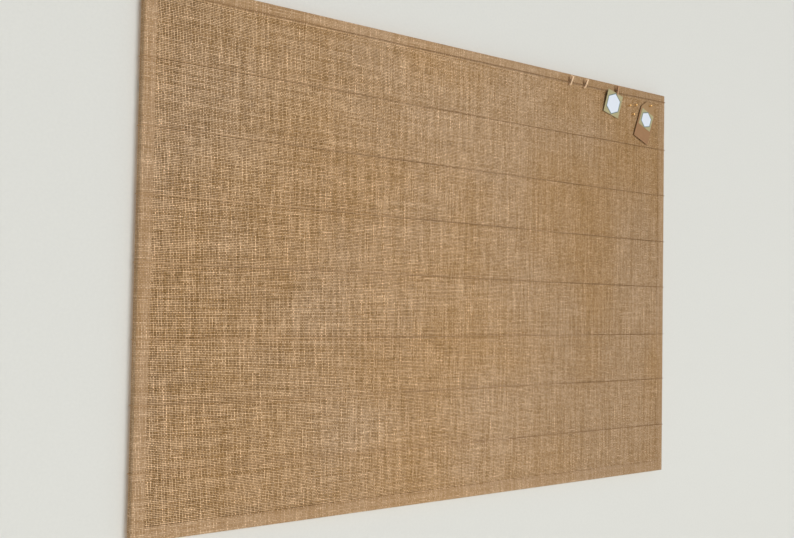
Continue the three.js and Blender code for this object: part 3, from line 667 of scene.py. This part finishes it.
def hessian_cover(material):
    let_go()
    bpy.ops.mesh.primitive_grid_add(x_subdivisions=FIELD_COLUMNS, y_subdivisions=FIELD_ROWS, size=2,
                                    rotation=(math.pi / 2, 0, 0))
    cover = name_new("hessian")
    cover.scale = ((HALF_WIDTH - STEP_INNER) * MM, (HALF_HEIGHT - STEP_INNER) * MM, 1)
    cover.location.y = FIELD_FRONT * MM
    settle(cover)
    open_up(cover, "EDGE")
    choose(cover, "edges", lambda edge: edge.is_boundary)
    inset, y = STEP_INNER, FIELD_FRONT
    for next_inset, next_y in cover_rings():
        wider = (HALF_WIDTH - next_inset) / (HALF_WIDTH - inset)
        taller = (HALF_HEIGHT - next_inset) / (HALF_HEIGHT - inset)
        bpy.ops.mesh.extrude_region()
        bpy.ops.transform.resize(center_override=(0, 0, 0), value=(wider, 1, taller))
        bpy.ops.transform.translate(value=(0, (next_y - y) * MM, 0))
        inset, y = next_inset, next_y
    close_up()
    # The cloth lies a little uneven over the cork
    for point in cover.data.vertices:
        inside = inset_at(point.co.x, point.co.z) - STEP_INNER * MM
        if inside > 0:
            wave = noise.noise(point.co * 14) + 0.6 * noise.noise(point.co * 37)
            point.co.y += UNEVEN * MM * wave * min(1, inside / (UNEVEN_FADE * MM))
    clean(cover)
    modify(cover, "SOLIDIFY", thickness=CLOTH_THICKNESS * MM, offset=-1, use_even_offset=True)
    smooth(cover, 40)
    mark_cloth(cover)
    fit(cover, "board", "hessian", material, "hessian_cover")
    width, height = (
        2 * unrolled((half - HEM_WIDTH) * MM, HEM_BACK * MM, half) for half in (HALF_WIDTH, HALF_HEIGHT))


# Strings
def string_route(number):
    """The string's middle line: tail, two bends at the left, the front, two bends at the right, tail."""
    reach, edge = EDGE_RADIUS + STRING_SEAT, HALF_WIDTH - EDGE_RADIUS
    front, back = BORDER_FRONT + EDGE_RADIUS, HEM_BACK - EDGE_RADIUS
    even = HALF_HEIGHT - FIRST_STRING_DOWN - number * STRING_PITCH
    left, right = (even - drift for drift in STRING_DRIFT[number])
    quarter = [math.pi / 16 * step for step in range(9)]
    points = [(STRING_TAIL - HALF_WIDTH, HEM_BACK + STRING_SEAT, left)]
    points += [(-edge - reach * math.sin(a), back + reach * math.cos(a), left) for a in quarter]
    points += [(-edge - reach * math.cos(a), front - reach * math.sin(a), left) for a in quarter]
    if number == 0:
        points += [(PEG_1_X, *LIFTED), (PEG_3_X + PEG_3_TRAVEL, *LIFTED)]
    points += [(edge + reach * math.sin(a), front - reach * math.cos(a), right) for a in quarter]
    points += [(edge + reach * math.cos(a), back + reach * math.sin(a), right) for a in quarter]
    return points + [(HALF_WIDTH - STRING_TAIL, HEM_BACK + STRING_SEAT, right)]


def straight_string(name, length):
    """Two plies wound round each other along X, from the origin."""
    turns = math.ceil(length / PLY_TURN)
    let_go()
    bpy.ops.mesh.primitive_circle_add(vertices=PLY_SIDES, radius=PLY_RADIUS * MM,
                                      rotation=(0, math.pi / 2, 0), location=(0, PLY_OFFSET * MM, 0))
    string = name_new(name)
    settle(string)
    open_up(string, "VERT", "SELECT")
    bpy.ops.mesh.duplicate()
    bpy.ops.transform.translate(value=(0, -2 * PLY_OFFSET * MM, 0))
    close_up()
    modify(string, "SCREW", axis="X", angle=2 * math.pi, screw_offset=length / turns * MM, iterations=turns,
           steps=PLY_STEPS, render_steps=PLY_STEPS, use_merge_vertices=False)
    open_up(string, "VERT", "SELECT")
    bpy.ops.mesh.fill_holes(sides=0)
    close_up()
    clean(string)
    take(string)
    bpy.ops.object.shade_smooth()
    return string


def strings(worn, fresh):
    for number in range(len(STRING_DRIFT)):
        points = string_route(number)
        length = sum(math.dist(a, b) for a, b in zip(points, points[1:]))
        route = route_line("route", points)
        string = straight_string(f"twisted_string_{number + 1}", length)
        mark_points(string, "lay", Matrix.Translation((0, number * LAY_STEP * MM, 0)))
        modify(string, "CURVE", object=route, deform_axis="POS_X")
        bpy.data.objects.remove(route)
        # The top string takes the darker first finish, painted shade for the border step's shadow
        fit(string, "board", "jute_string", worn if number == 0 else fresh, f"string_{number + 1}")


# Pegs
def peg_frame(name):
    """The frame of a peg at its coil: X along the coil, Z towards the handles."""
    x, lean, turn, _, (seat_up, seat_out) = PEGS[name]
    coil = Vector((0, seat_out, COIL_UP - seat_up))
    return (Matrix.Translation(Vector((x, *LIFTED)) * MM) @ Matrix.Rotation(turn, 4, "Y")
            @ Matrix.Rotation(lean, 4, "X") @ Matrix.Translation(coil * MM))


def spring_route(opening):
    """A leg over the back half, the coil, a leg over the front half."""
    side, seat_up, seat_out, over = 2.25, -1.9, 3.05, 1.2
    leg = [(-over, seat_up, seat_out), (side - 0.8, seat_up, seat_out),
           (side - 0.25, seat_up, seat_out - 0.1), (side, seat_up, seat_out - 0.5),
           (side, seat_up + 0.12, 2.0), (side, seat_up + 0.3, 1.4), (side, -1, 1.125), (side, -0.5, 1)]
    back = [Vector((-x, v, u)) for x, u, v in leg]
    swing = Matrix.Rotation(-opening, 3, "X")
    front = [swing @ Vector((x, -v, u)) for x, u, v in leg]
    sweep, run = COIL_TURNS * 2 * math.pi - opening, COIL_TURNS * COIL_PITCH
    coil = []
    for step in range(COIL_STEPS + 1):
        share = step / COIL_STEPS
        angle = sweep * share - math.pi / 2
        coil.append(Vector((run * (share - 0.5), -math.sin(angle), math.cos(angle))) * COIL_RADIUS)
    return back + coil + front[::-1]


def pegs(fresh, darker, steel):
    grain_first = Matrix(((0, 0, 1, 0), (1, 0, 0, 0), (0, 1, 0, 0), (0, 0, 0, 1)))
    for name, (_, _, _, opening, _) in PEGS.items():
        stand = peg_frame(name)
        for half, body in (("back", name), ("front", f"{name}_jaw")):
            piece = eased_copy(f"{name}_{half}", f"{name}_wood_{half}", PEG_EASE)
            mark_points(piece, "grain", grain_first @ stand.inverted())
            fit(piece, body, "birch", darker if name == "peg_3" else fresh, f"{name}_{half}")
        points = [stand @ (p * MM) / MM for p in spring_route(opening)]
        spring = bent_wire(f"{name}_coil", points, SPRING_WIRE, 2)
        fit(spring, None, "spring_steel", steel, f"{name}_spring")
        start, end = (stand @ Vector((0, reach * MM, 0)) for reach in (SPRING_BLEND, -SPRING_BLEND))
        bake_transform(spring)
        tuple(start)
        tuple(end)


# Push pins
def push_pins(brass):
    model = turned("pin_model", PIN_PROFILE)
    for name, place in PINS.items():
        piece = copy_of(model, f"{name}_brass")
        move_to(piece, place)
        fit(piece, name, "brass", brass, name)
    bpy.data.objects.remove(model)


# Back: felt pads, hangers, staples
def felt_pads(felt):
    let_go()
    bpy.ops.mesh.primitive_cylinder_add(vertices=48, radius=PAD_RADIUS * MM, depth=PAD_DEPTH * MM,
                                        rotation=(math.pi / 2, 0, 0))
    model = name_new("pad_model")
    settle(model)
    open_up(model, "FACE")
    choose(model, "faces", lambda face: abs(face.normal.y) > 0.9)
    for thickness in PAD_INSETS:
        bpy.ops.mesh.inset(thickness=thickness * MM)
    bpy.ops.mesh.select_mode(type="EDGE")
    choose(model, "edges", lambda edge: edge.is_manifold and edge.calc_face_angle() > 1)
    bpy.ops.mesh.bevel(offset=PAD_ROUND * MM, segments=3, affect="EDGES")
    close_up()
    smooth(model, 60)
    for level, up in (("upper", 1), ("lower", -1)):
        for side, out in SIDES:
            pad = copy_of(model, f"felt_{level}_{side}")
            move_to(pad, (out * PAD_X, -PAD_DEPTH / 2, up * PAD_Z))
            fit(pad, "board", "felt", felt, f"pad_{level}_{side}")
    bpy.data.objects.remove(model)


def hanger_screws(steel):
    """Domed heads with a cross recess, on plain shanks."""
    model = turned("screw_model", SCREW_PROFILE)
    for long, wide in ((RECESS_LONG, RECESS_WIDE), (RECESS_WIDE, RECESS_LONG)):
        let_go()
        bpy.ops.mesh.primitive_cube_add(size=1, location=(0, RECESS_MIDDLE * MM, 0))
        recess = name_new("recess")
        recess.scale = (long * MM, RECESS_DEEP * MM, wide * MM)
        settle(recess)
        modify(model, "BOOLEAN", object=recess, operation="DIFFERENCE", solver="EXACT")
        bpy.data.objects.remove(recess)
    clean(model)
    smooth(model, 35)
    for side, out in SIDES:
        piece = copy_of(model, f"screw_{side}")
        move_to(piece, (out * HANGER_X, SCREW_SEAT, HANGER_Z - SCREW_DOWN))
        fit(piece, "board", "hanger_steel", steel, f"hanger_screw_{side}")
    bpy.data.objects.remove(model)


def ring_loop():
    """The ring's middle line as (x, z): half of its straight bar, a bend, the bow, and back."""
    corner = RING_HALF - RING_BEND
    start = [(RING_JOINT / 2, 0), (corner, 0)]
    for angle in (0.4, 0.8, 1.2, math.pi / 2):
        start.append((corner + RING_BEND * math.sin(angle), RING_BEND * (math.cos(angle) - 1)))
    bow = []
    for step in range(25):
        angle = math.pi * step / 24
        bow.append((RING_HALF * math.cos(angle), -RING_ARM - RING_HALF * math.sin(angle)))
    return start + bow + [(-x, z) for x, z in reversed(start)]


def hangers(steel):
    for side, out in SIDES:
        points = [(out * HANGER_X + x, RING_Y, HANGER_Z + z) for x, z in ring_loop()]
        ring = bent_wire(f"ring_{side}_wire", points, RING_WIRE, 4)
        fit(ring, f"ring_{side}", "hanger_steel", steel, f"hanger_ring_{side}")
        strap = eased_copy(f"hanger_strap_{side}", f"strap_{side}", METAL_EASE)
        fit(strap, "board", "hanger_steel", steel, f"hanger_strap_{side}")


def string_staples(steel):
    for number in range(1, len(STRING_DRIFT) + 1):
        for side, _ in SIDES:
            node = f"staple_{number}_{side}"
            fit(eased_copy(node, f"string_{node}", METAL_EASE), "board", "staple_steel", steel, node)


def hem_staples(steel):
    """A row of flat staples that hold the hem down."""
    let_go()
    bpy.ops.mesh.primitive_cube_add(size=1, location=(0, (HEM_BACK + HEM_STAPLE_PROUD) * MM, 0))
    model = name_new("staple_model")
    model.scale = Vector(HEM_STAPLE) * MM
    settle(model)
    modify(model, "BEVEL", width=HEM_STAPLE_EASE * MM, segments=2)
    # Place along and up, and turn in degrees: each sits a little aslant
    places = []
    for _, out in SIDES:
        for step in range(-9, 10):
            along = step * LONG_ROW_PITCH + LONG_ROW_SHIFT
            places.append((along, out * (HALF_HEIGHT - LONG_ROW_IN), step * 5 % 9 - 4))
        for step in range(-5, 6):
            up = step * SHORT_ROW_PITCH + SHORT_ROW_SHIFT
            places.append((out * (HALF_WIDTH - SHORT_ROW_IN), up, 90 + step * 7 % 11 - 5))
    staples = []
    for x, z, turn in places:
        staple = copy_of(model, "hem_staple")
        staple.data.transform(Matrix.Rotation(math.radians(turn), 4, "Y"))
        move_to(staple, (x, 0, z))
        staples.append(staple)
    bpy.data.objects.remove(model)
    take(staples[0])
    for staple in staples:
        staple.select_set(True)
    bpy.ops.object.join()
    row = name_new("hem_staples")
    smooth(row, 50)
    fit(row, "board", "staple_steel", steel)


# Tags, frame and panels, whose CAD shapes stay
def tag_stand(place, lean, turn):
    """The frame of a tag where it hangs: X across the card, Z up it."""
    return (Matrix.Translation(Vector(place) * MM) @ Matrix.Rotation(lean, 4, "X")
            @ Matrix.Rotation(turn, 4, "Y"))


def tags():
    kraft, kraft_fleck = (174, 165, 127), (136, 122, 86)
    stand_1, stand_2 = tag_stand(*TAG_1), tag_stand(*TAG_2)
    coat("tag_1_card", card_finish("kraft_card", stand_1, kraft, kraft_fleck))
    coat("tag_2_card", card_finish("brown_card", stand_2, (156, 119, 86), (122, 90, 62), (163, 131, 94)))
    coat("tag_2_patch", card_finish("kraft_patch", stand_2, kraft, kraft_fleck))
    for node, name, stand, (middle, radius) in (
            ("tag_1_label", "square_tag_label", stand_1, LABEL_1),
            ("tag_2_label", "swing_tag_label", stand_2, LABEL_2)):
        coat(node, label_finish(name, stand @ Matrix.Translation(Vector(middle) * MM), radius))


def frame_and_panels():
    pine = wood_finish("pine", (222, 190, 142), (200, 160, 108), 260)
    for rail in ("top_rail", "bottom_rail", "left_rail", "right_rail"):
        coat(rail, pine)
    coat("cork_panel", cork_finish())
    coat("back_panel", hardboard_finish())


def dress():
    staple_steel = metal_finish("staple_steel", (196, 198, 200), (150, 150, 150), 0.3)
    hanger_steel = metal_finish("hanger_steel", (206, 204, 198), (150, 148, 142), 0.3)
    hessian_cover(hessian_finish())
    # The first string finish, for the top string, is darker: painted shade for the shadow of the border's
    # step along which it lies
    strings(string_finish("painted_shade_string", (116, 87, 58), (168, 134, 98)),
            string_finish("jute_string", (124, 93, 60), (195, 160, 120)))
    pegs(wood_finish("birch", (240, 208, 172), (220, 182, 142), 900, "grain", 0.5),
         # Peg 3 is given a darker birch
         wood_finish("darker_birch", (198, 156, 120), (174, 132, 98), 900, "grain", 0.5),
         metal_finish("spring_steel", (158, 148, 136), (124, 114, 104), 0.3))
    push_pins(metal_finish("brass", (212, 168, 108), (164, 118, 68), 0.28))
    felt_pads(felt_finish())
    hanger_screws(hanger_steel)
    hangers(hanger_steel)
    hem_staples(staple_steel)
    string_staples(staple_steel)
    tags()
    frame_and_panels()


# Room: wall, floor, light and camera
def wall_paint():
    """Pale paint that can be looked through from behind, and lets the back light pass."""
    paint = Finish("wall_paint", Roughness=0.9, Specular_IOR_Level=0.1)
    grain = paint.noise(paint.place(), 220, 3)
    paint.show(Base_Color=paint.tone(colour(220, 220, 215), 0.97 + grain * 0.06),
               Normal=paint.bump(grain, 0.3 * MM, 0.3))
    shadow = paint.node("ShaderNodeLightPath", {}, {})["Is Shadow Ray"]
    behind = paint.node("ShaderNodeNewGeometry", {}, {})["Backfacing"].maths("MAXIMUM", shadow)
    clear = paint.node("ShaderNodeBsdfTransparent", {}, {})["BSDF"]
    solid = Wire(paint, paint.shader.outputs["BSDF"])
    shown = paint.node("ShaderNodeMixShader", {}, {0: behind, 1: solid, 2: clear})["Shader"]
    paint.feed(paint.tree.nodes["Material Output"], {"Surface": shown})
    return paint.material


def floor_paint():
    paint = Finish("floor_paint", Roughness=0.8, Specular_IOR_Level=0.2)
    cloud = paint.noise(paint.place(), 3, 3)
    return paint.show(Base_Color=paint.tone(colour(222, 221, 216), 0.97 + cloud * 0.06))


def room():
    for name, place, tilt, paint in (
            ("wall", (0, WALL_BEHIND, 0), math.pi / 2, wall_paint()),
            ("floor", (0, 0, FLOOR_HEIGHT), 0, floor_paint())):
        let_go()
        bpy.ops.mesh.primitive_plane_add(size=ROOM_SIZE, location=place, rotation=(tilt, 0, 0))
        plane = name_new(name)
        settle(plane)
        plane.data.materials.append(paint)


def lamp(name, place, power, spread):
    """A broad, even lamp that shines from a place towards the board."""
    data = bpy.data.lights.new(name, "SUN")
    data.energy, data.angle = power, math.radians(spread)
    light = bpy.data.objects.new(name, data)
    light.location = place
    light.rotation_euler = (-Vector(place)).to_track_quat("-Z", "Y").to_euler()
    bpy.context.scene.collection.objects.link(light)


def lighting():
    scene = bpy.context.scene
    scene.view_settings.view_transform = "Standard"
    lamp("key", place=(0.75, -4.4, 0.6), power=1.8, spread=32)
    lamp("back_key", place=(1.4, 2.6, 1.6), power=3, spread=50)
    scene.world = bpy.data.worlds.new("room_light")
    air = Nodes(scene.world)
    path = air.node("ShaderNodeLightPath", {}, {})
    seen = path["Is Camera Ray"].maths("MAXIMUM", path["Is Glossy Ray"])
    seen = seen.maths("MAXIMUM", path["Is Transmission Ray"])
    air.feed(air.tree.nodes["Background"], {"Color": (0.98, 0.99, 1, 1), "Strength": 0.3 + seen * 0.56})


def viewpoint():
    data = bpy.data.cameras.new("camera")
    data.sensor_width, data.lens = SENSOR_WIDTH, CAMERA_LENS
    camera = bpy.data.objects.new("camera", data)
    ahead = Vector(CAMERA_AHEAD).normalized()
    level = ahead.cross(Vector((0, 0, 1))).normalized()
    right = level * math.cos(CAMERA_ROLL) + level.cross(ahead) * math.sin(CAMERA_ROLL)
    turn = Matrix((right, right.cross(ahead), -ahead)).transposed()
    camera.matrix_world = Matrix.Translation(CAMERA_PLACE) @ turn.to_4x4()
    bpy.context.scene.collection.objects.link(camera)
    bpy.context.scene.camera = camera


lighting()
viewpoint()
room()
dress()
let_go()
